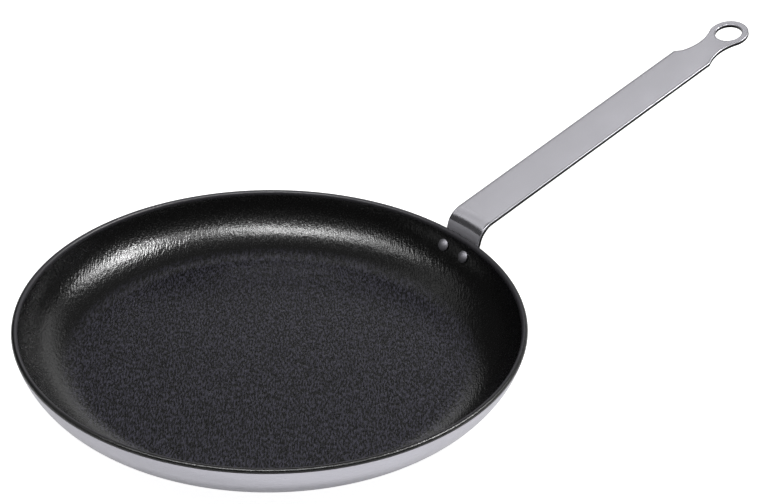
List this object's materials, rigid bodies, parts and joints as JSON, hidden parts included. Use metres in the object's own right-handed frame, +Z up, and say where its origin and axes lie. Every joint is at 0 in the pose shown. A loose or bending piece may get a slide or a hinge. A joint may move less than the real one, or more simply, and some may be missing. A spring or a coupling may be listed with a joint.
{
  "type": "omelette pan",
  "caption": "Shallow round omelette pan with a dark non-stick lining and a riveted flat strip handle that ends in a hanging eye.",
  "frame": {"origin": "centre of the base's underside, on the surface that the pan stands on", "axes": "+Z up along the pan's axis, +X along the handle towards its hanging eye, +Y to the left when looking along the handle"},
  "size_m": [0.5101, 0.28, 0.1032],
  "materials": {
    "satin_aluminium": "pressed sheet, satin, turned finish outside",
    "nonstick_lining": "dark sprayed and baked non-stick coat, low sheen",
    "satin_steel": "flat strip, satin, rounded edges",
    "rivet_aluminium": "bare, domed heads"
  },
  "bodies": {
    "root": {"pan_body": "satin_aluminium", "nonstick_coating": "nonstick_lining", "handle": "satin_steel", "rivet_left": "rivet_aluminium", "rivet_right": "rivet_aluminium"}
  },
  "joints": []
}
